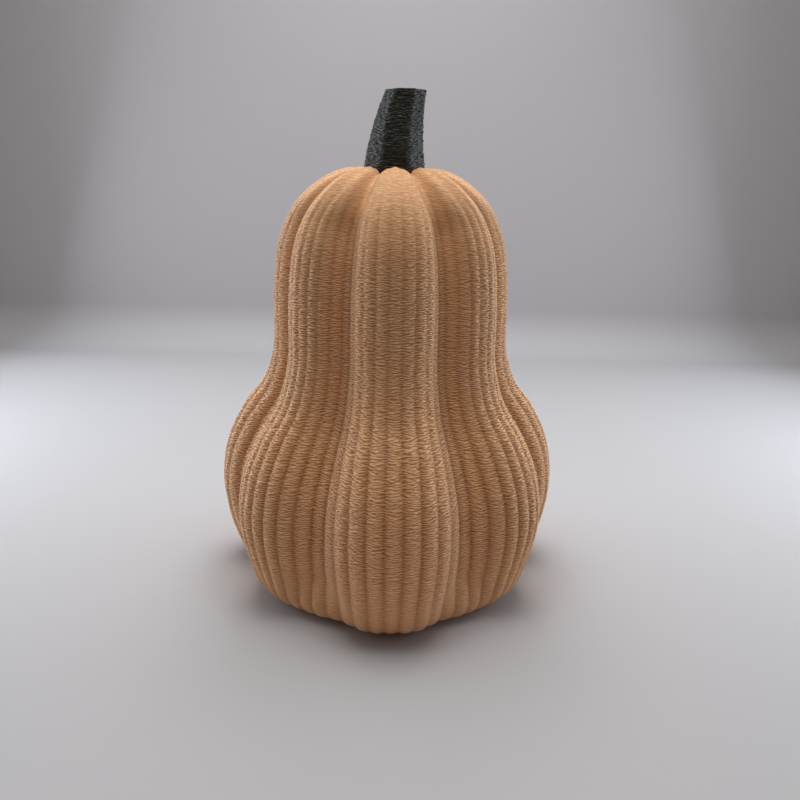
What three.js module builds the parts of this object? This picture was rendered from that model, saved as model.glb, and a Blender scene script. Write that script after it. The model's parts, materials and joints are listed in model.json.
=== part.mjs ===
// A decorative butternut squash, printed in two pieces: a ribbed body with seven
// lobes, and a seven-sided stem whose foot sits in a socket in the top of the body.
//
// Millimetres, +Z up. The body stands on the plane z = 0, and the Z axis is its
// own axis. The front lobe looks along -Y, and the stem leans towards +X.

import * as THREE from 'three';

const { clamp, degToRad, lerp, smoothstep } = THREE.MathUtils;

// ---------------------------------------------------------------- dimensions

// The body: seven lobes, listed from the front one round by +X, with their widths in
// degrees round the axis. The widths change between two heights, near the top.
const LOBES = [
  { row: 'front', width: 57.8, widthAtTop: 47.4 },
  { row: 'near', width: 52.4, widthAtTop: 47.1 },
  { row: 'side', width: 44.9, widthAtTop: 51.5 },
  { row: 'rear', width: 53.8, widthAtTop: 57.7 },
  { row: 'rear', width: 53.8, widthAtTop: 57.7 },
  { row: 'side', width: 44.9, widthAtTop: 51.5 },
  { row: 'near', width: 52.4, widthAtTop: 47.1 },
];
const WIDTHS_CHANGE_FROM_Z = 180;
const WIDTHS_CHANGE_TO_Z = 203;
const FRONT_LOBE_TURN = degToRad( 2.45 );

// Stations up the crest line of the front lobe: height and radius from the axis.
const CREST_STATIONS = [
  { z: 0.0, radius: 61.5 },
  { z: 1.6, radius: 69.2 },
  { z: 4.4, radius: 73.6 },
  { z: 9.3, radius: 77.4 },
  { z: 22.1, radius: 83.0 },
  { z: 43.4, radius: 86.8 },
  { z: 64.5, radius: 83.8 },
  { z: 83.5, radius: 74.9 },
  { z: 99.4, radius: 63.7 },
  { z: 116.5, radius: 58.9 },
  { z: 136.3, radius: 58.6 },
  { z: 155.7, radius: 57.6 },
  { z: 173.0, radius: 54.2 },
  { z: 187.8, radius: 46.6 },
  { z: 198.0, radius: 35.7 },
  { z: 203.3, radius: 25.0 },
  { z: 204.5, radius: 16.2 },
];
const BODY_LEVELS = 32;

// The lobes' section at some heights: the depth of the groove, how full a lobe is
// beside its crest, how tight the groove is, how far the ribs crowd towards the
// groove, and how far the near and side lobes stand in from the crest line. The
// depth and these two setbacks are shares of the radius; the rest have no unit.
const SECTIONS = [
  { z: 0, depth: 0.064, fullness: - 0.050, pinch: - 0.254, crowding: - 0.020, near: 0.056, side: - 0.018 },
  { z: 20, depth: 0.190, fullness: 0.196, pinch: 0.026, crowding: - 0.019, near: 0.076, side: - 0.018 },
  { z: 50, depth: 0.220, fullness: 0.205, pinch: 0.079, crowding: - 0.009, near: 0.066, side: - 0.025 },
  { z: 90, depth: 0.236, fullness: 0.201, pinch: 0.035, crowding: - 0.001, near: 0.063, side: - 0.027 },
  { z: 140, depth: 0.259, fullness: 0.257, pinch: 0.112, crowding: 0.003, near: 0.070, side: - 0.022 },
  { z: 180, depth: 0.279, fullness: 0.257, pinch: 0.103, crowding: 0.012, near: 0.067, side: - 0.024 },
  { z: 203, depth: 0.210, fullness: 0.238, pinch: 0.207, crowding: 0.022, near: 0.007, side: 0.000 },
];

// The ribs: ten across each lobe, the tenth along the groove.
const RIBS_PER_LOBE = 10;
const RIB_HEIGHT = 0.8;
const RIB_HEIGHT_AT_BASE = 0.6;
const RIBS_START_TO_FADE = 172;
const RIBS_GONE = 202;
const BASE_EDGE_HEIGHT = 12;

// The stem: seven sides with eased corners, tapering, bent to +X and twisted.
const STEM_SIDES = 7;
const STEM_PITCH = ( 2 * Math.PI ) / STEM_SIDES;
const STEM_FOOT_RADIUS = 15.1;
const STEM_TOP_RADIUS = 9.85;
const STEM_SHOULDER_Z = 203;
const STEM_TOP_Z = 238.4;
const STEM_BEND = 4.9;
const STEM_TWIST = degToRad( - 6.4 );
const STEM_CORNER_HALF_ANGLE = degToRad( 4 );
const STEM_TOP_EDGE = 0.5;
const STEM_LEVELS = 9;

// The socket in the top of the body, round the foot of the stem.
const SOCKET_FLOOR_Z = 192;
const SEAT_GAP = 0.35;
const SOCKET_RADIUS = STEM_FOOT_RADIUS + SEAT_GAP / Math.cos( STEM_PITCH / 2 );
const RIM_DROP = 0.7;

// ------------------------------------------------------------------ materials

const bodyPlastic = new THREE.MeshStandardMaterial( {
  name: 'peach_plastic',
  color: new THREE.Color( 0.83, 0.53, 0.31 ),
  roughness: 0.85,
  metalness: 0,
} );

const stemPlastic = new THREE.MeshStandardMaterial( {
  name: 'dark_green_plastic',
  color: new THREE.Color( 0.06, 0.09, 0.08 ),
  roughness: 0.85,
  metalness: 0,
} );

// -------------------------------------------------------------- mesh building

/** A closed mesh from rings of equal length, each listed anticlockwise from above. */
function loft( rings ) {

  const count = rings[ 0 ].length;
  const points = rings.flat();
  const triangles = [];

  for ( let level = 0; level < rings.length - 1; level ++ ) {

    for ( let i = 0; i < count; i ++ ) {

      const next = ( i + 1 ) % count;
      const a = level * count + i;
      const b = level * count + next;
      triangles.push( a, b, b + count );
      triangles.push( a, b + count, a + count );

    }

  }

  addCap( points, triangles, 0, rings[ 0 ], true );
  addCap( points, triangles, ( rings.length - 1 ) * count, rings.at( - 1 ), false );

  const geometry = new THREE.BufferGeometry().setFromPoints( points );
  geometry.setIndex( triangles );
  geometry.computeVertexNormals();
  return geometry;

}

/** Closes a ring with a fan of triangles round its middle. */
function addCap( points, triangles, first, ring, facesBack ) {

  const centre = new THREE.Vector3();
  ring.forEach( ( point ) => centre.addScaledVector( point, 1 / ring.length ) );
  const middle = points.push( centre ) - 1;

  for ( let i = 0; i < ring.length; i ++ ) {

    const a = first + i;
    const b = first + ( i + 1 ) % ring.length;
    triangles.push( middle, ...( facesBack ? [ b, a ] : [ a, b ] ) );

  }

}

/** A point at a height, at an angle from the front (-Y) towards +X. */
function cylindrical( radius, angle, z ) {

  return new THREE.Vector3( radius * Math.sin( angle ), - radius * Math.cos( angle ), z );

}

/** The distance from the middle of a seven-sided outline to its flat side. */
function flatSideDistance( cornerRadius, angle ) {

  const offset = angle - STEM_PITCH * Math.round( angle / STEM_PITCH );
  return cornerRadius * Math.cos( STEM_PITCH / 2 ) / Math.cos( offset );

}

// ----------------------------------------------------------------------- body

const crestCurve = new THREE.CatmullRomCurve3(
  CREST_STATIONS.map( ( s ) => new THREE.Vector3( s.radius, 0, s.z ) ),
  false,
  'catmullrom',
);

/** Rib height at height z: full on the sides, low at the base, gone at the top. */
function ribHeight( z ) {

  const rise = smoothstep( z, 0, BASE_EDGE_HEIGHT );
  const low = lerp( RIB_HEIGHT_AT_BASE, RIB_HEIGHT, rise );
  return low * ( 1 - smoothstep( z, RIBS_START_TO_FADE, RIBS_GONE ) );

}

/** The lobes' section at height z, eased from one in the list to the next. */
function sectionAt( z ) {

  const last = SECTIONS.length - 2;
  const found = SECTIONS.findLastIndex( ( s ) => s.z <= z );
  const i = clamp( found, 0, last );
  const [ low, high ] = [ SECTIONS[ i ], SECTIONS[ i + 1 ] ];
  const t = smoothstep( z, low.z, high.z );
  const blend = ( key ) => [ key, lerp( low[ key ], high[ key ], t ) ];
  return Object.fromEntries( Object.keys( low ).map( blend ) );

}

/** Every lobe at height z: its width as an angle, and its setback from the crest line. */
function lobesAt( z, section ) {

  const t = smoothstep( z, WIDTHS_CHANGE_FROM_Z, WIDTHS_CHANGE_TO_Z );
  return LOBES.map( ( { row, width, widthAtTop } ) => ( {
    width: degToRad( lerp( width, widthAtTop, t ) ),
    setback: section[ row ] ?? 0,
  } ) );

}

/** 0 on a lobe's crest (u = 0), rising to 1 and back this many times per lobe. */
function wave( u, times ) {

  return ( 1 - Math.cos( 2 * Math.PI * times * u ) ) / 2;

}

/**
 * All the lobes in plan, at one height: a list of angles round the axis, each with
 * the distance that the surface lies in from the crest line. The points fall on the
 * crest of each rib and in the valley beside it.
 */
function lobedSection( z, radius ) {

  const section = sectionAt( z );
  const { depth, fullness, pinch, crowding } = section;
  const lobes = lobesAt( z, section );
  const steps = 2 * RIBS_PER_LOBE;
  const outline = [];
  let start = FRONT_LOBE_TURN - lobes[ 0 ].width / 2;

  for ( const { width, setback } of lobes ) {

    for ( let i = 0; i < steps; i ++ ) {

      const even = i / steps - 0.5;
      const u = even + crowding * Math.sin( 2 * Math.PI * even );
      const fall = ( 1 - pinch ) * wave( u, 1 ) - fullness * wave( u, 2 ) + pinch * wave( u, 3 );
      const inset = radius * ( setback + ( depth - setback ) * fall );
      const rib = i % 2 === 0 ? ribHeight( z ) : 0;
      outline.push( { angle: start + width * ( u + 0.5 ), inset: inset - rib } );

    }

    start += width;

  }

  return outline;

}

/** The outward direction of the crest line, made level at the flat base. */
function crestNormal( t, z ) {

  const along = crestCurve.getTangent( t );
  const up = - along.x * smoothstep( z, 0, BASE_EDGE_HEIGHT );
  const out = along.z;
  const length = Math.hypot( up, out );
  return { out: out / length, up: up / length };

}

/** One whole ring of the body: each point is set in along the crest line's normal. */
function bodyRing( t ) {

  const { x: radius, z } = crestCurve.getPoint( t );
  const normal = crestNormal( t, z );
  return lobedSection( z, radius ).map( ( { angle, inset } ) =>
    cylindrical( radius - inset * normal.out, angle, z - inset * normal.up ) );

}

/** The socket's wall and floor: the top ring drawn in to a seven-sided outline. */
function socketRing( topRing, zOf ) {

  return topRing.map( ( point ) => {

    const angle = Math.atan2( point.x, - point.y );
    const radius = flatSideDistance( SOCKET_RADIUS, angle - FRONT_LOBE_TURN );
    return cylindrical( radius, angle, zOf( point ) );

  } );

}

function makeBody() {

  const rings = [];

  for ( let level = 0; level <= BODY_LEVELS; level ++ ) {

    rings.push( bodyRing( level / BODY_LEVELS ) );

  }

  const topRing = rings.at( - 1 );
  rings.push( socketRing( topRing, ( point ) => point.z - RIM_DROP ) );
  rings.push( socketRing( topRing, () => SOCKET_FLOOR_Z ) );

  const body = new THREE.Mesh( loft( rings ), bodyPlastic );
  body.name = 'squash_body';
  return body;

}

// ----------------------------------------------------------------------- stem

/** One ring of the stem: seven corners, each eased by two points. */
function stemRing( cornerRadius, z, rise, inset = 0 ) {

  const lean = STEM_BEND * rise * rise;
  const ring = [];

  for ( let side = 0; side < STEM_SIDES; side ++ ) {

    for ( const ease of [ - STEM_CORNER_HALF_ANGLE, STEM_CORNER_HALF_ANGLE ] ) {

      const local = ( side + 0.5 ) * STEM_PITCH + ease;
      const radius = flatSideDistance( cornerRadius, local ) - inset;
      const point = cylindrical( radius, local + FRONT_LOBE_TURN + STEM_TWIST * rise, z );
      point.x += lean;
      ring.push( point );

    }

  }

  return ring;

}

function makeStem() {

  const rings = [ stemRing( STEM_FOOT_RADIUS, SOCKET_FLOOR_Z + SEAT_GAP, 0 ) ];
  const sideTop = STEM_TOP_Z - STEM_TOP_EDGE;

  for ( let level = 0; level <= STEM_LEVELS; level ++ ) {

    const rise = level / STEM_LEVELS;
    const radius = lerp( STEM_FOOT_RADIUS, STEM_TOP_RADIUS, rise );
    const z = lerp( STEM_SHOULDER_Z, sideTop, rise );
    rings.push( stemRing( radius, z, rise ) );

  }

  rings.push( stemRing( STEM_TOP_RADIUS, STEM_TOP_Z, 1, STEM_TOP_EDGE ) );

  const stem = new THREE.Mesh( loft( rings ), stemPlastic );
  stem.name = 'stem';
  return stem;

}

// ------------------------------------------------------------------- assembly

const squash = new THREE.Group();
squash.add( makeBody(), makeStem() );

export default squash;
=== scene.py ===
# %% [markdown]
# # A printed butternut squash
#
# The object is an ornament in two prints: a peach body with seven lobes and fine
# upright ribs, and a dark stem whose foot sits in a socket in the body's top.
# Both prints have a "fuzzy skin": the nozzle shakes while it draws the outer wall,
# so every layer is a slightly different wavy line.
#
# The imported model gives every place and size. This lesson makes each print again
# as a fine surface, gives both a plastic that carries the fuzzy skin, and lights
# them on a pale table.

# %% Load the frame
import json
from collections import namedtuple

import bpy
import numpy as np
from mathutils import Matrix, Vector

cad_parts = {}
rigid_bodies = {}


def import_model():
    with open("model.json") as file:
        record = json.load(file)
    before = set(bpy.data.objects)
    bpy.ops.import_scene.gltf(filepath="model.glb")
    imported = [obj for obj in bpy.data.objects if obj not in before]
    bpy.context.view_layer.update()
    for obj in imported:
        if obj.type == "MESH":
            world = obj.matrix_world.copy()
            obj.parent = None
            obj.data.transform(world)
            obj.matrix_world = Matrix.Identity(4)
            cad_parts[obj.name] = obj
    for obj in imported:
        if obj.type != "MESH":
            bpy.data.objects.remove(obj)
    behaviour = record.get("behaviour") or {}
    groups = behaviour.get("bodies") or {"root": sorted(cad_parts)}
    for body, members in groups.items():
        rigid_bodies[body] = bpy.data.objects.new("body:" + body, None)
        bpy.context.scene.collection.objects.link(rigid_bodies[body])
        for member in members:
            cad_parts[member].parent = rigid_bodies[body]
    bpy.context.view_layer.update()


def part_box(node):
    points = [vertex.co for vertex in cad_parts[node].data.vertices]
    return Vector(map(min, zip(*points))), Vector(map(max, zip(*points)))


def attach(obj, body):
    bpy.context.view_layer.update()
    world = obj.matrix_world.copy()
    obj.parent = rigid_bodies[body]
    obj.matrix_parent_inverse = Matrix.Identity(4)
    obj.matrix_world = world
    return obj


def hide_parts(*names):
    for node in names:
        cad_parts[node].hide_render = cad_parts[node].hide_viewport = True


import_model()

MM = 0.001
body_low, body_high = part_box("squash_body")
stem_low, stem_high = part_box("stem")
print("body", [round(side / MM, 1) for side in Vector(body_high) - Vector(body_low)], "mm")
print("stem", [round(side / MM, 1) for side in Vector(stem_high) - Vector(stem_low)], "mm")

# %% [markdown]
# ## Where we stand
#
# The camera looks at the squash from a little above its shoulders, tipped down and
# turned a degree or so on its own axis, as a hand-held camera is. Its place is
# worked out from the body's height, so it follows the object if that ever changes.
# Its factors and angles are rounded results of a numerical fit made outside this file.

# %% Camera
BODY_HEIGHT = body_high[2] - body_low[2]
CAMERA_HEIGHT = 0.978 * BODY_HEIGHT
CAMERA_DISTANCE = 1.908 * BODY_HEIGHT
CAMERA_ASIDE = 0.0243 * BODY_HEIGHT
CAMERA_TIP_DOWN = np.radians(15.56)
CAMERA_ROLL = np.radians(1.20)
LENS = 36.0
SENSOR = 36.0


def make_camera():
    """Place the camera in front (-Y), tip it down about X, then roll it on its axis."""
    data = bpy.data.cameras.new("camera")
    data.lens = LENS
    data.sensor_width = SENSOR
    data.clip_start = 0.01
    data.clip_end = 20.0
    camera = bpy.data.objects.new("camera", data)
    bpy.context.scene.collection.objects.link(camera)
    place = Matrix.Translation((CAMERA_ASIDE, -CAMERA_DISTANCE, CAMERA_HEIGHT))
    tip = Matrix.Rotation(np.pi / 2 - CAMERA_TIP_DOWN, 4, "X")
    camera.matrix_world = place @ tip @ Matrix.Rotation(CAMERA_ROLL, 4, "Z")
    bpy.context.scene.camera = camera
    return camera


camera = make_camera()
print("camera at", [round(v / MM) for v in camera.matrix_world.translation], "mm")

# %% [markdown]
# ## Surfaces on a grid
#
# Both prints are tubes of rings. A grid of points, rings by columns, is worked out
# as whole numpy arrays. Neighbouring points make quads, and a single point closes
# each end. The rings run upwards and the columns run anticlockwise from above, so
# the faces look outwards.

# %% Grid helpers
def smoothstep(x, low, high):
    """0 below low, 1 above high, and an S-curve 3t^2 - 2t^3 between them."""
    t = np.clip((np.asarray(x, float) - low) / (high - low), 0.0, 1.0)
    return t * t * (3.0 - 2.0 * t)


def mix(a, b, t):
    """a where t is 0, b where t is 1, and a straight blend between them."""
    return a + (b - a) * t


def through_stations(stations, t):
    """A smooth curve through the stations (Catmull-Rom), at t from 0 to 1.

    Between two stations it is the cubic whose slope at each of them is half the
    step from the station before to the station after.
    """
    stations = np.asarray(stations, float)
    before = 2 * stations[:1] - stations[1:2]
    after = 2 * stations[-1:] - stations[-2:-1]
    padded = np.vstack([before, stations, after])
    spans = len(stations) - 1
    place = np.clip(np.asarray(t) * spans, 0, spans - 1e-9)
    first = place.astype(int)
    f = (place - first)[:, None]
    a, b, c, d = (padded[first + k] for k in range(4))
    start, end = (c - a) / 2, (d - b) / 2
    cubic = 2 * b - 2 * c + start + end
    square = 3 * c - 3 * b - 2 * start - end
    return cubic * f**3 + square * f**2 + start * f + b


def tube_mesh(name, rings, bottom, top):
    """A closed mesh from rings of points, with one point closing each end.

    rings is an array (levels, columns, 3). Quad (i, j) joins columns j and j + 1 of
    rings i and i + 1, and the end fans join the first and last ring to their points.
    """
    levels, columns, _ = rings.shape
    points = np.vstack([rings.reshape(-1, 3), [bottom], [top]])
    i, j = np.meshgrid(np.arange(levels - 1), np.arange(columns), indexing="ij")
    k = (j + 1) % columns
    lower, upper = i * columns, (i + 1) * columns
    quads = np.stack([lower + j, lower + k, upper + k, upper + j], -1)
    around = np.arange(columns)
    onward = (around + 1) % columns
    last = (levels - 1) * columns
    foot = np.stack([onward, around, np.full(columns, levels * columns)], -1)
    head = np.stack([last + around, last + onward, np.full(columns, levels * columns + 1)], -1)
    faces = quads.reshape(-1, 4).tolist() + foot.tolist() + head.tolist()
    mesh = bpy.data.meshes.new(name)
    mesh.from_pydata(points.tolist(), [], faces)
    mesh.shade_smooth()
    piece = bpy.data.objects.new(name, mesh)
    bpy.context.scene.collection.objects.link(piece)
    print(name, len(points), "points", 2 * levels * columns, "triangles")
    return piece


def paint_points(piece, name, values):
    """Store one number per point, for the material to read.

    The two end points take the value of the ring beside them.
    """
    column = np.append(values.ravel(), [values[0, 0], values[-1, 0]]).astype(np.float32)
    layer = piece.data.attributes.new(name, "FLOAT", "POINT")
    layer.data.foreach_set("value", column)


def around_axis(radius, angle, z):
    """Points at a radius from Z, at an angle measured from the front (-Y) towards +X."""
    return np.stack([radius * np.sin(angle), -radius * np.cos(angle), z + 0 * angle], -1)


# %% [markdown]
# ## The line up a lobe
#
# A squash swells at the foot, draws in to a neck and closes over a round shoulder.
# One curve holds all of that: the crest line up the middle of the front lobe. Each
# station on it says how high it is and how far from the axis.
#
# The rings are spaced evenly along this curve and not evenly in height, because the
# shoulder is nearly flat and would get too few of them.
#
# The stations were not chosen by eye. Least-squares fits in separate programs found
# them from the outline and the ribs of the real object, and they are rounded here.
# Only the four lowest, and the radius of the topmost, were then set one by one.

# %% Crest line
Station = namedtuple("Station", "height radius")
CREST_STATIONS = [
    Station(0.0, 61.5),
    Station(1.6, 69.2),
    Station(4.4, 73.6),
    Station(9.3, 77.4),
    Station(22.1, 83.0),
    Station(43.4, 86.8),
    Station(64.5, 83.8),
    Station(83.5, 74.9),
    Station(99.4, 63.7),
    Station(116.5, 58.9),
    Station(136.3, 58.6),
    Station(155.7, 57.6),
    Station(173.0, 54.2),
    Station(187.8, 46.6),
    Station(198.0, 35.7),
    Station(203.3, 25.0),
    Station(204.5, 16.2),
]
SCALE = BODY_HEIGHT / CREST_STATIONS[-1].height
BODY_RINGS = 224
BASE_EDGE = 12.0
FINE_STEPS = 4000


def crest_line(rings):
    """Height, radius and outward direction along the crest, evenly spaced.

    The curve is sampled finely, its length is added up, and the samples are read
    again at equal steps of length. The outward direction is the slope turned by a
    quarter turn, and it is levelled near the base so that the underside stays flat.
    """
    fine = through_stations(CREST_STATIONS, np.linspace(0, 1, FINE_STEPS))
    step = np.hypot(*np.diff(fine, axis=0).T)
    length = np.append(0, np.cumsum(step))
    even = np.linspace(0, length[-1], rings)
    height, radius = (np.interp(even, length, fine[:, k]) for k in range(2))
    up = -np.gradient(radius, even) * smoothstep(height, 0, BASE_EDGE)
    out = np.gradient(height, even)
    size = np.hypot(up, out)
    return height, radius, out / size, up / size


height, crest, out, up = crest_line(BODY_RINGS)
print("crest line: widest", round(crest.max(), 1), "neck", round(crest[height > 110].max(), 1))

# %% [markdown]
# ## Lobes and grooves
#
# The seven lobes are not alike. The front one is the widest, its two neighbours
# stand in a little, and the next pair makes the outline at the sides. Towards the
# stem all seven draw together and grow more alike. From the crest of a lobe the skin
# curves in slowly, then dives into a soft groove. A table of sections says how deep
# and how full that curve is at each height, and how far each pair stands in.
#
# The widths and the sections are rounded results of the same fits as the stations,
# apart from three shares set one by one: two in the lowest section and one in the
# highest. The two rear lobes share the width that the other five leave.

# %% Lobes and grooves
Lobe = namedtuple("Lobe", "row width width_at_top")
LOBES = [
    Lobe("front", 57.8, 47.4),
    Lobe("near", 52.4, 47.1),
    Lobe("side", 44.9, 51.5),
    Lobe("rear", 53.8, 57.7),
    Lobe("rear", 53.8, 57.7),
    Lobe("side", 44.9, 51.5),
    Lobe("near", 52.4, 47.1),
]
WIDTHS_CHANGE = (180, 203)
FRONT_LOBE_TURN = np.radians(2.45)

Section = namedtuple("Section", "height depth fullness pinch crowding near side")
SECTIONS = [
    Section(0, 0.064, -0.050, -0.254, -0.020, 0.056, -0.018),
    Section(20, 0.190, 0.196, 0.026, -0.019, 0.076, -0.018),
    Section(50, 0.220, 0.205, 0.079, -0.009, 0.066, -0.025),
    Section(90, 0.236, 0.201, 0.035, -0.001, 0.063, -0.027),
    Section(140, 0.259, 0.257, 0.112, 0.003, 0.070, -0.022),
    Section(180, 0.279, 0.257, 0.103, 0.012, 0.067, -0.024),
    Section(203, 0.210, 0.238, 0.207, 0.022, 0.007, 0.000),
]
RIBS_PER_LOBE = 10
COLUMNS_PER_RIB = 6
COLUMNS_PER_LOBE = RIBS_PER_LOBE * COLUMNS_PER_RIB


def wave(u, times):
    """0 on a lobe's crest (u = 0), rising to 1 and back this many times per lobe."""
    return (1 - np.cos(2 * np.pi * times * u)) / 2


def lobed_skin(z, radius):
    """Angle and inset from the crest line, for every ring and every column.

    u runs from -0.5 to 0.5 across a lobe. The fall from crest to groove is wave 1
    less some of wave 2, which fills the lobe out, plus some of wave 3, which makes
    the groove tighter. Crowding shifts the columns towards the crest or the groove.
    """
    table = np.array(SECTIONS)
    low = np.clip(np.searchsorted(table[:, 0], z, side="right") - 1, 0, len(table) - 2)
    rise = smoothstep(z, table[low, 0], table[low + 1, 0])[:, None]
    section = mix(table[low], table[low + 1], rise)[:, 1:, None, None]
    depth, fullness, pinch, crowding, near, side = np.moveaxis(section, 1, 0)
    u = (np.arange(COLUMNS_PER_LOBE) / COLUMNS_PER_LOBE - 0.5)[None, None, :]
    u = u + crowding * np.sin(2 * np.pi * u)
    fall = (1 - pinch) * wave(u, 1) - fullness * wave(u, 2) + pinch * wave(u, 3)
    rows = {"front": 0 * near, "near": near, "side": side, "rear": 0 * near}
    setback = np.concatenate([rows[lobe.row] for lobe in LOBES], axis=1)
    change = smoothstep(z, *WIDTHS_CHANGE)[:, None, None]
    width, top_width = (np.array([lobe[k] for lobe in LOBES])[None, :, None] for k in (1, 2))
    width = mix(width, top_width, change)
    middle = np.cumsum(width, axis=1) - (width + width[:, :1]) / 2
    angle = np.radians(middle + width * u) + FRONT_LOBE_TURN
    inset = radius[:, None, None] * (setback + (depth - setback) * fall)
    return angle.reshape(len(z), -1), inset.reshape(len(z), -1)


angle, inset = lobed_skin(height, crest)
print("groove depth at the neck", round(inset[height > 140][0].max(), 1), "mm")

# %% [markdown]
# ## Ribs
#
# Ten ribs stand on each lobe like cushions side by side, the tenth along the groove.
# They are tall round the belly, low on the neck, and melt away over the shoulder. A
# rib grows at right angles to the skin, so the ribs on a groove's walls lean with
# the walls. Each pair of numbers below is a span of height, in mm, in which the rib
# height changes from one value to the next.

# %% Ribs
BASE_RIB = 1.0
BELLY_RIB = 1.25
NECK_RIB = 0.62
RIB_ROUNDNESS = 0.8
FOOT = (0, 30)
WAIST = (72, 122)
SHOULDER = (177, 203)


def rib_height(z):
    """How far a rib stands out, in mm: low at the base and neck, none at the top."""
    belly = mix(BASE_RIB, BELLY_RIB, smoothstep(z, *FOOT))
    neck = mix(belly, NECK_RIB, smoothstep(z, *WAIST))
    return neck * (1 - smoothstep(z, *SHOULDER))


def outward(points):
    """Unit normals of a ringed grid: the step along the ring crossed with the step up."""
    along = np.roll(points, -1, axis=1) - np.roll(points, 1, axis=1)
    rise = np.gradient(points, axis=0)
    normal = np.cross(along, rise)
    return normal / np.linalg.norm(normal, axis=-1, keepdims=True)


place = np.arange(len(LOBES) * COLUMNS_PER_LOBE) / COLUMNS_PER_RIB
arch = np.abs(np.cos(np.pi * place)) ** RIB_ROUNDNESS
# How far each column lies down between two ribs: where the plastic paints shade.
valley_shade = (1 - arch)[None, :] + 0 * angle
print("ribs", len(LOBES) * RIBS_PER_LOBE, "tallest", round(rib_height(height).max(), 2), "mm")

# %% [markdown]
# ## Fuzzy skin
#
# A slicer makes this finish by moving the outer wall in and out at random every
# fraction of a millimetre. The mesh carries a little of it, so that the outline is
# rough too, and the plastic's bump carries the rest. The waves are weaker low on the
# belly and over the shoulder, where the skin lies flatter.
#
# White noise is smoothed along the layers only: every ring keeps its own wave.

# %% Random waves along the layers
def layer_waves(shape, reach, seed):
    """Noise with a spread of 1, smooth along each ring over reach columns."""
    waves = np.random.default_rng(seed).standard_normal(shape)
    total = sum(np.roll(waves, k, axis=1) * (reach - abs(k)) for k in range(1 - reach, reach))
    return total / total.std()


BODY_FUZZ = 0.045
BODY_WAVE_REACH = 2
BODY_SEED = 11
LEAST_FUZZ = 0.3
FUZZ_GROWS = (0, 50)
FUZZ_FADES = (145, 198)


def fuzz_strength(z):
    """Full on the belly and neck, and about a third at the foot and at the top."""
    growing = mix(LEAST_FUZZ, 1.0, smoothstep(z, *FUZZ_GROWS))
    fading = mix(1.0, LEAST_FUZZ, smoothstep(z, *FUZZ_FADES))
    return growing * fading


# %% Body surface
RIM_DROP = 0.7
LIP_RINGS = 6
SOCKET_FLOOR = 192.0
STEM_SIDES = len(LOBES)
STEM_PITCH = 2 * np.pi / STEM_SIDES
STEM_FOOT = 15.1
SEAT_GAP = 0.35
SOCKET = STEM_FOOT + SEAT_GAP / np.cos(STEM_PITCH / 2)


def flat_side(corner, angle):
    """Radius of the stem's seven-sided outline; the middle of one side faces the front."""
    offset = angle - STEM_PITCH * np.round(angle / STEM_PITCH)
    return corner * np.cos(STEM_PITCH / 2) / np.cos(offset)


def body_points():
    """The whole skin: lobes, ribs and fuzz, then the rim, the socket's wall and its floor.

    Near the base the ribs grow sideways only, so that they end on the table.
    """
    radius = crest[:, None] - inset * out[:, None]
    skin = around_axis(radius, angle, height[:, None] - inset * up[:, None])
    waves = layer_waves(inset.shape, BODY_WAVE_REACH, BODY_SEED)
    fuzz = BODY_FUZZ * fuzz_strength(height)[:, None] * waves
    lift = rib_height(height)[:, None] * arch + fuzz
    normal = outward(skin)
    normal[..., 2] *= smoothstep(height, 0, BASE_EDGE)[:, None]
    skin = skin + normal / np.linalg.norm(normal, axis=-1, keepdims=True) * lift[..., None]
    skin[..., 2] = np.maximum(skin[..., 2], 0)
    skin[0, :, 2] = 0
    rim = skin[-1:]
    rim_angle = np.arctan2(rim[..., 0], -rim[..., 1])
    wall = flat_side(SOCKET, rim_angle - FRONT_LOBE_TURN)
    bend = np.linspace(0, np.pi / 2, LIP_RINGS + 1)[1:, None]
    lip_radius = mix(np.hypot(rim[..., 0], rim[..., 1]), wall, np.sin(bend))
    lip = around_axis(lip_radius, rim_angle, rim[..., 2] - RIM_DROP * (1 - np.cos(bend)))
    floor = around_axis(wall, rim_angle, np.full_like(wall, SOCKET_FLOOR))
    return np.vstack([skin, lip, floor]) * SCALE


rings = body_points()
floor_centre = (0, 0, SOCKET_FLOOR * SCALE)
body = tube_mesh("squash_body_print", rings, (0, 0, 0), floor_centre)

# %% [markdown]
# ## What the plastic has to know
#
# Two numbers are painted on the points of the body for its plastic to read: how
# strong the fuzz is, and how much shade is painted on the point in the valley between
# two ribs. Where ribs are tall their valleys take dark painted shade, and at the foot
# less, as the light from the table fills them.

# %% Strength of fuzz and shade, painted on the body
FOOT_SHADE = 0.6
SHADE_GROWS = (0, 40)
shade = rib_height(height) / rib_height(height).max()
shade = shade * mix(FOOT_SHADE, 1.0, smoothstep(height, *SHADE_GROWS))
painted = {
    "fuzz": fuzz_strength(height)[:, None] + 0 * valley_shade,
    # Painted shade between the ribs, deepest where the ribs are tall.
    "valley_shade": valley_shade * shade[:, None],
}
rings_past_the_rim = len(rings) - BODY_RINGS
for name, values in painted.items():
    past_the_rim = np.repeat(values[-1:], rings_past_the_rim, axis=0)
    paint_points(body, name, np.vstack([values, past_the_rim]))
print("painted on the body:", ", ".join(painted))

# %% [markdown]
# ## The stem
#
# The stem is a seven-sided bar with soft corners. It tapers, bends over to one side
# along a parabola and twists a few degrees. It is small, so its mesh is fine enough
# to carry more of the fuzzy skin as real waves. Its top is a flat last layer, where
# only a trace of the fuzz is left.

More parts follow.
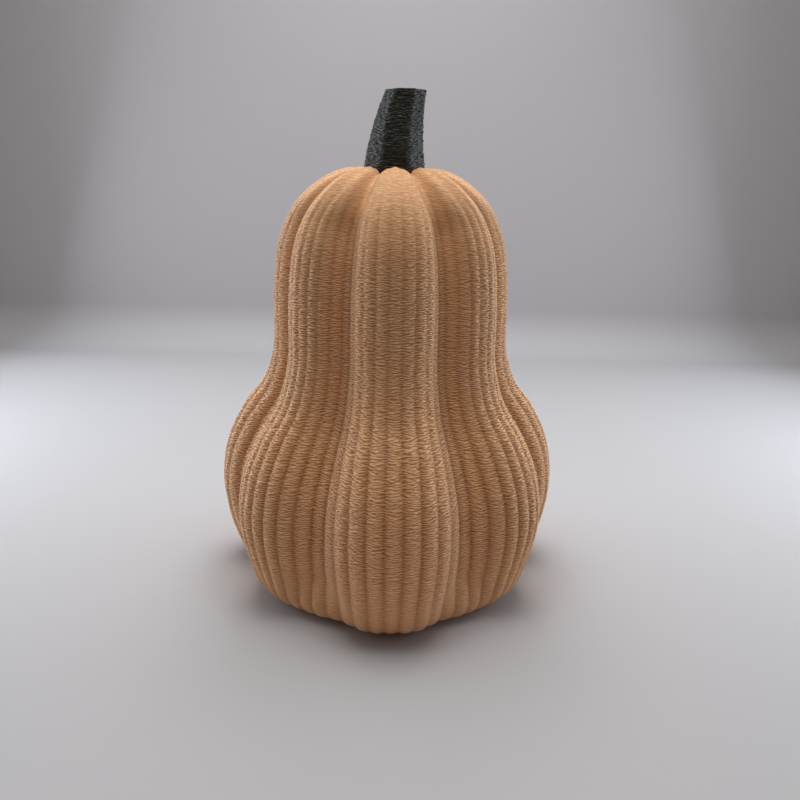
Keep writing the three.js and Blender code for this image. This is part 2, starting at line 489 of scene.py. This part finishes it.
# %% Stem surface
STEM_TOP_RADIUS = 9.85
STEM_SHOULDER = 203.0
STEM_TOP = 238.4
STEM_BEND = 4.9
STEM_TWIST = np.radians(-6.4)
STEM_CORNER_EASE = 0.35
STEM_RINGS = 150
COLUMNS_PER_SIDE = 48
STEM_COLUMNS = STEM_SIDES * COLUMNS_PER_SIDE
STEM_FUZZ = 0.16
STEM_TOP_FUZZ = 0.15
STEM_WAVE_REACH = 6
STEM_WAVES_GROW = (STEM_SHOULDER - 4, STEM_SHOULDER)
STEM_SEED = 23
STEM_TOP_RISE = 0.25
STEM_TOP_RINGS = 5
STEM_TOP_OPENING = 0.1


def stem_outline(corner, angle):
    """A seven-sided outline with its corners eased towards a circle."""
    flat = flat_side(corner, angle)
    inner = corner * np.cos(STEM_PITCH / 2)
    sharp = (flat - inner) / (corner - inner)
    return inner + (corner - inner) * (sharp - STEM_CORNER_EASE * sharp**4)


def stem_points():
    """Rings from the foot to the top: taper, parabolic bend and twist with the rise.

    A few more rings run in over the flat top, which stands up a little in the middle.
    """
    z = np.linspace(SOCKET_FLOOR + SEAT_GAP, STEM_TOP, STEM_RINGS)[:, None]
    rise = np.clip((z - STEM_SHOULDER) / (STEM_TOP - STEM_SHOULDER), 0, 1)
    angle = np.linspace(0, 2 * np.pi, STEM_COLUMNS, endpoint=False)[None, :]
    corner = mix(STEM_FOOT, STEM_TOP_RADIUS, rise)
    radius = stem_outline(corner, angle)
    waves = STEM_FUZZ * layer_waves(radius.shape, STEM_WAVE_REACH, STEM_SEED)
    radius = radius + waves * smoothstep(z, *STEM_WAVES_GROW)
    points = around_axis(radius, angle + FRONT_LOBE_TURN + STEM_TWIST * rise, z)
    points[..., 0] += STEM_BEND * rise**2
    inwards = np.linspace(0, 1, STEM_TOP_RINGS + 1)[1:, None, None]
    middle = np.array([STEM_BEND, 0, STEM_TOP])
    closing = mix(points[-1:], middle, (1 - STEM_TOP_OPENING) * inwards)
    closing[..., 2] = STEM_TOP + STEM_TOP_RISE * np.sin(np.pi / 2 * inwards[..., 0])
    return np.vstack([points, closing]) * SCALE


rings = stem_points()
foot_centre = (0, 0, (SOCKET_FLOOR + SEAT_GAP) * SCALE)
top_centre = (STEM_BEND * SCALE, 0, (STEM_TOP + STEM_TOP_RISE) * SCALE)
stem = tube_mesh("stem_print", rings, foot_centre, top_centre)
is_side = np.arange(len(rings)) < STEM_RINGS
paint_points(stem, "fuzz", np.where(is_side, 1.0, STEM_TOP_FUZZ)[:, None] + 0 * rings[..., 0])

# %% [markdown]
# ## The plastics
#
# Both prints share one effect, so it is a node group. On the real thing every layer
# is its own wavy thread: where a thread stands out it catches the light, and where
# its neighbours stand out further it lies in their shade. So the group works out the
# wave of a layer and of the layers above and below it. The layer's own wave is the
# height for the bump, and how far its neighbours stand over it is the mask of the
# hollows, where shade is painted into the colour; the threads outside it get a
# painted highlight.

# %% Wave of one layer
def link_math(tree, operation, a, b):
    """A math node; a and b may each be a socket or a number."""
    node = tree.nodes.new("ShaderNodeMath")
    node.operation = operation
    for socket, given in zip(node.inputs, (a, b)):
        if isinstance(given, (int, float)):
            socket.default_value = given
        else:
            tree.links.new(given, socket)
    return node.outputs["Value"]


LAYER_SPREAD = 17.37


def make_layer_wave_group():
    """Noise at (x / length, y / length, layer number * spread), in mm of Object space.

    The layer number is z over the layer height, rounded down, plus Shift. The spread
    is so large that layers which lie side by side have nothing in common.
    """
    group = bpy.data.node_groups.new("layer wave", "ShaderNodeTree")
    for name in ("Wave Length", "Layer Height", "Shift"):
        group.interface.new_socket(name, in_out="INPUT", socket_type="NodeSocketFloat")
    group.interface.new_socket("Wave", in_out="OUTPUT", socket_type="NodeSocketFloat")
    given = group.nodes.new("NodeGroupInput").outputs
    result = group.nodes.new("NodeGroupOutput").inputs
    place = group.nodes.new("ShaderNodeSeparateXYZ")
    group.links.new(group.nodes.new("ShaderNodeTexCoord").outputs["Object"], place.inputs[0])
    spot = group.nodes.new("ShaderNodeCombineXYZ")
    length = link_math(group, "MULTIPLY", given["Wave Length"], MM)
    layer_height = link_math(group, "MULTIPLY", given["Layer Height"], MM)
    layers_up = link_math(group, "DIVIDE", place.outputs["Z"], layer_height)
    layer = link_math(group, "FLOOR", layers_up, 0)
    shifted = link_math(group, "ADD", layer, given["Shift"])
    group.links.new(link_math(group, "DIVIDE", place.outputs["X"], length), spot.inputs["X"])
    group.links.new(link_math(group, "DIVIDE", place.outputs["Y"], length), spot.inputs["Y"])
    group.links.new(link_math(group, "MULTIPLY", shifted, LAYER_SPREAD), spot.inputs["Z"])
    noise = group.nodes.new("ShaderNodeTexNoise")
    noise.inputs["Scale"].default_value = 1.0
    noise.inputs["Detail"].default_value = 0.0
    group.links.new(spot.outputs["Vector"], noise.inputs["Vector"])
    group.links.new(noise.outputs["Fac"], result["Wave"])
    return group


layer_wave = make_layer_wave_group()


# %% Fuzzy skin node group
WAVE_LENGTH = 2.6
LAYER_HEIGHT = 0.45
SOFTNESS = 0.13


def make_fuzzy_skin_group():
    """Height is the layer's own wave; the other output, the mask of painted shade, is 1
    where both neighbours stand over it.

    That mask rises evenly from 0 to 1 while the neighbours' mean goes from Softness
    under the layer's own wave to Softness over it.
    """
    group = bpy.data.node_groups.new("fuzzy skin", "ShaderNodeTree")
    usual = {"Wave Length": WAVE_LENGTH, "Layer Height": LAYER_HEIGHT, "Softness": SOFTNESS}
    for name, value in usual.items():
        socket = group.interface.new_socket(name, in_out="INPUT", socket_type="NodeSocketFloat")
        socket.default_value = value
    for name in ("Height", "Hollow Shade"):
        group.interface.new_socket(name, in_out="OUTPUT", socket_type="NodeSocketFloat")
    given = group.nodes.new("NodeGroupInput").outputs
    result = group.nodes.new("NodeGroupOutput").inputs
    waves = []
    for shift in (-1, 0, 1):
        wave_node = group.nodes.new("ShaderNodeGroup")
        wave_node.node_tree = layer_wave
        wave_node.inputs["Shift"].default_value = shift
        for name in ("Wave Length", "Layer Height"):
            group.links.new(given[name], wave_node.inputs[name])
        waves.append(wave_node.outputs["Wave"])
    below, own, above = waves
    around = link_math(group, "MULTIPLY", link_math(group, "ADD", below, above), 0.5)
    # The mask of the hollows: where shade is painted into the colour.
    hollow_shade = group.nodes.new("ShaderNodeMapRange")
    lowest = link_math(group, "MULTIPLY", given["Softness"], -1)
    group.links.new(lowest, hollow_shade.inputs["From Min"])
    group.links.new(given["Softness"], hollow_shade.inputs["From Max"])
    group.links.new(link_math(group, "SUBTRACT", around, own), hollow_shade.inputs["Value"])
    group.links.new(own, result["Height"])
    group.links.new(hollow_shade.outputs["Result"], result["Hollow Shade"])
    return group


fuzzy_skin = make_fuzzy_skin_group()
print("group", fuzzy_skin.name, [s.name for s in fuzzy_skin.interface.items_tree])


# %% Plastic maker
SPECULAR_LEVEL = 0.3
SHEEN_ROUGHNESS = 0.6


def new_plastic(name, roughness, sheen):
    """An empty plastic: a Principled shader with constants set on its own sockets."""
    material = bpy.data.materials.new(name)
    material.use_nodes = True
    shader = material.node_tree.nodes["Principled BSDF"]
    shader.inputs["Roughness"].default_value = roughness
    shader.inputs["Specular IOR Level"].default_value = SPECULAR_LEVEL
    shader.inputs["Sheen Weight"].default_value = sheen
    shader.inputs["Sheen Roughness"].default_value = SHEEN_ROUGHNESS
    return material, shader


def mix_colour(tree, a, b, factor, blend="MIX"):
    """A node that blends colour a to colour b by a factor socket; a and b may be sockets."""
    node = tree.nodes.new("ShaderNodeMix")
    node.data_type = "RGBA"
    node.blend_type = blend
    for socket, given in ((node.inputs["A"], a), (node.inputs["B"], b)):
        if isinstance(given, tuple):
            socket.default_value = (*given, 1)
        else:
            tree.links.new(given, socket)
    tree.links.new(factor, node.inputs["Factor"])
    return node.outputs["Result"]


def read_points(tree, name):
    """The number painted on the points under this name."""
    node = tree.nodes.new("ShaderNodeAttribute")
    node.attribute_name = name
    return node.outputs["Fac"]


def add_bump(tree, shader, height, distance):
    """Tilt the shader's normal by a height socket that spans this distance in mm."""
    bump = tree.nodes.new("ShaderNodeBump")
    bump.inputs["Distance"].default_value = distance * MM
    tree.links.new(height, bump.inputs["Height"])
    tree.links.new(bump.outputs["Normal"], shader.inputs["Normal"])


def add_fuzzy_skin(tree, plain, thread_highlight, hollow_shade, softness=SOFTNESS):
    """The colour and the height of a fuzzy skin, with a painted highlight on the threads and
    painted shade in the hollows; plain and level where "fuzz" is 0.
    """
    skin = tree.nodes.new("ShaderNodeGroup")
    skin.node_tree = fuzzy_skin
    skin.inputs["Softness"].default_value = softness
    fuzz = read_points(tree, "fuzz")
    # Painted highlight on the threads and painted shade in the hollows, blended by the hollow
    # mask.
    threads = mix_colour(tree, thread_highlight, hollow_shade, skin.outputs["Hollow Shade"])
    colour = mix_colour(tree, plain, threads, fuzz)
    waves = link_math(tree, "MULTIPLY", skin.outputs["Height"], fuzz)
    return colour, waves


# %% [markdown]
# ## Peach
#
# The body is a matt peach plastic that lets a little light in. A thread that stands
# out is painted pale, a painted highlight where it catches the light. A hollow between
# threads is painted shade, and as the plastic lets light in, that shade is a deeper
# orange and not a darker grey. The valleys between the ribs get painted shade in the
# same way, by a warm tint.

# %% Peach plastic
PEACH = (0.72, 0.39, 0.185)
# The thread colour is a painted highlight; the hollow colour and the rib valley tint are
# painted shade.
PEACH_THREAD_HIGHLIGHT = (0.98, 0.635, 0.34)
PEACH_HOLLOW_SHADE = (0.53, 0.205, 0.066)
RIB_VALLEY_SHADE = (0.66, 0.50, 0.40)
PEACH_WAVE_DEPTH = 2.3


def make_peach_plastic():
    """Peach: a painted highlight on the threads, painted shade in the hollows, and warm painted
    shade in the rib valleys.
    """
    material, shader = new_plastic("peach_plastic", roughness=0.8, sheen=0.08)
    tree = material.node_tree
    colour, waves = add_fuzzy_skin(tree, PEACH, PEACH_THREAD_HIGHLIGHT, PEACH_HOLLOW_SHADE)
    # Painted shade in the valleys between the ribs, as a warm tint.
    valley_shade_amount = read_points(tree, "valley_shade")
    with_valley_shade = mix_colour(tree, colour, RIB_VALLEY_SHADE, valley_shade_amount, "MULTIPLY")
    tree.links.new(with_valley_shade, shader.inputs["Base Color"])
    add_bump(tree, shader, waves, PEACH_WAVE_DEPTH)
    return material


# %% [markdown]
# ## Dark green
#
# The stem is a dark grey-green plastic, a little glossier. It swallows light, so the
# step from a thread's painted highlight to the nearly black painted shade beside it is
# sharper than on the body.

# %% Dark green plastic
GREEN = (0.041, 0.048, 0.036)
# The thread colour is a painted highlight and the hollow colour is painted shade.
GREEN_THREAD_HIGHLIGHT = (0.074, 0.086, 0.063)
GREEN_HOLLOW_SHADE = (0.004, 0.005, 0.004)
GREEN_SOFTNESS = 0.06
GREEN_WAVE_DEPTH = 2.0


def make_green_plastic():
    """Dark grey-green threads with a painted highlight, and nearly black painted shade in the
    hollows between them.
    """
    material, shader = new_plastic("dark_green_plastic", roughness=0.6, sheen=0.15)
    tree = material.node_tree
    colour, waves = add_fuzzy_skin(tree, GREEN, GREEN_THREAD_HIGHLIGHT, GREEN_HOLLOW_SHADE, GREEN_SOFTNESS)
    tree.links.new(colour, shader.inputs["Base Color"])
    add_bump(tree, shader, waves, GREEN_WAVE_DEPTH)
    return material


body.data.materials.append(make_peach_plastic())
stem.data.materials.append(make_green_plastic())

# %% [markdown]
# ## Telling the frame what stands for what
#
# Each fine print replaces its plain CAD node and rides on the one body of the frame.

# %% Pieces and frame
PIECES = [
    (body, "squash_body", "peach_plastic"),
    (stem, "stem", "dark_green_plastic"),
]
for piece, node, slot in PIECES:
    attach(piece, "root")
    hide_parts(node)

# %% [markdown]
# ## Table and light
#
# The squash stands in a small light tent: a pale sheet that lies level under it and
# sweeps up behind it. One broad light in the roof gives most of the light, so the
# shoulders and the belly's top are bright and the front of the neck is dim. A weak
# light behind the roof and two at the back brighten the wall and the far edges.
# Two low lights at the sides draw out the grooves and the ribs. A small card in front,
# most of it under the level of the table, sends a little warm light up under the
# belly and leaves the table itself nearly alone.

# %% Sweep
SWEEP_HALF_WIDTH = 1.2
SWEEP_FRONT = -0.9
SWEEP_BEND_START = 0.51
SWEEP_BEND = 0.05
SWEEP_BEND_STEPS = 24
SWEEP_HEIGHT = 0.9
TABLE = (0.47, 0.46, 0.46)
# The wall colour is painted shade: darker than the table because less light reaches the wall.
SHADED_WALL = (0.43, 0.405, 0.41)
PAPER_ROUGHNESS = 0.8


def make_paper():
    """Matt paper: the table colour at the floor and, above the bend, a darker colour that is
    painted shade on the wall.
    """
    paper = bpy.data.materials.new("pale_paper")
    paper.use_nodes = True
    tree = paper.node_tree
    shader = tree.nodes["Principled BSDF"]
    shader.inputs["Roughness"].default_value = PAPER_ROUGHNESS
    place = tree.nodes.new("ShaderNodeSeparateXYZ")
    tree.links.new(tree.nodes.new("ShaderNodeTexCoord").outputs["Object"], place.inputs[0])
    rise = tree.nodes.new("ShaderNodeMapRange")
    rise.interpolation_type = "SMOOTHSTEP"
    rise.inputs["From Max"].default_value = SWEEP_BEND
    tree.links.new(place.outputs["Z"], rise.inputs["Value"])
    colour = mix_colour(tree, TABLE, SHADED_WALL, rise.outputs["Result"])
    tree.links.new(colour, shader.inputs["Base Color"])
    return paper


def make_sweep():
    """A sheet: level floor, a quarter circle, then a wall. The same line at both sides."""
    turn = np.linspace(0, np.pi / 2, SWEEP_BEND_STEPS)
    bend = SWEEP_BEND_START + SWEEP_BEND * np.sin(turn)
    y = np.r_[SWEEP_FRONT, bend, SWEEP_BEND_START + SWEEP_BEND]
    z = np.r_[0, SWEEP_BEND * (1 - np.cos(turn)), SWEEP_HEIGHT]
    x = np.array([-SWEEP_HALF_WIDTH, SWEEP_HALF_WIDTH])
    points = np.stack([np.tile(x, len(y)), np.repeat(y, 2), np.repeat(z, 2)], -1)
    first = np.arange(len(y) - 1) * 2
    faces = np.stack([first, first + 1, first + 3, first + 2], -1)
    mesh = bpy.data.meshes.new("sweep")
    mesh.from_pydata(points.tolist(), [], faces.tolist())
    mesh.shade_smooth()
    sweep = bpy.data.objects.new("sweep", mesh)
    bpy.context.scene.collection.objects.link(sweep)
    sweep.data.materials.append(make_paper())
    return sweep


sweep = make_sweep()
print("sweep of", len(sweep.data.polygons), "strips")


# %% Lights
def area_light(name, place, target, size, power, colour):
    """A square soft light at a place, turned so that it faces a target point."""
    data = bpy.data.lights.new(name, "AREA")
    data.shape = "SQUARE"
    data.size = size
    data.energy = power
    data.color = colour
    light = bpy.data.objects.new(name, data)
    bpy.context.scene.collection.objects.link(light)
    facing = (Vector(target) - Vector(place)).to_track_quat("-Z", "Y")
    light.matrix_world = Matrix.Translation(place) @ facing.to_matrix().to_4x4()


MIDDLE = (0, 0, 0.10)
NEUTRAL = (1.02, 1.0, 0.99)
COOL = (0.88, 0.96, 1.08)
WARM = (1.17, 0.96, 0.92)
Light = namedtuple("Light", "name place size power colour")
LIGHTS = [
    Light("roof", (0, 0.06, 0.80), 0.55, 5.6, NEUTRAL),
    Light("roof_back", (0, 0.42, 0.70), 0.25, 0.9, COOL),
    Light("left_back", (-0.50, 0.35, 0.25), 0.3, 0.85, COOL),
    Light("right_back", (0.50, 0.35, 0.25), 0.3, 0.72, COOL),
    Light("left_low", (-0.50, 0.11, 0.12), 0.25, 1.05, COOL),
    Light("right_low", (0.50, 0.11, 0.12), 0.25, 1.0, COOL),
    Light("front_card", (0, -0.30, -0.04), 0.2, 0.29, WARM),
]
for light in LIGHTS:
    area_light(light.name, light.place, MIDDLE, light.size, light.power, light.colour)
print("lights", [light.name for light in LIGHTS])

# %% Room
ROOM_COLOUR = (0.85, 0.87, 0.92, 1)
ROOM_STRENGTH = 0.02

world = bpy.data.worlds.new("room")
world.use_nodes = True
world.node_tree.nodes["Background"].inputs["Color"].default_value = ROOM_COLOUR
world.node_tree.nodes["Background"].inputs["Strength"].default_value = ROOM_STRENGTH
bpy.context.scene.world = world
bpy.context.scene.view_settings.view_transform = "Standard"
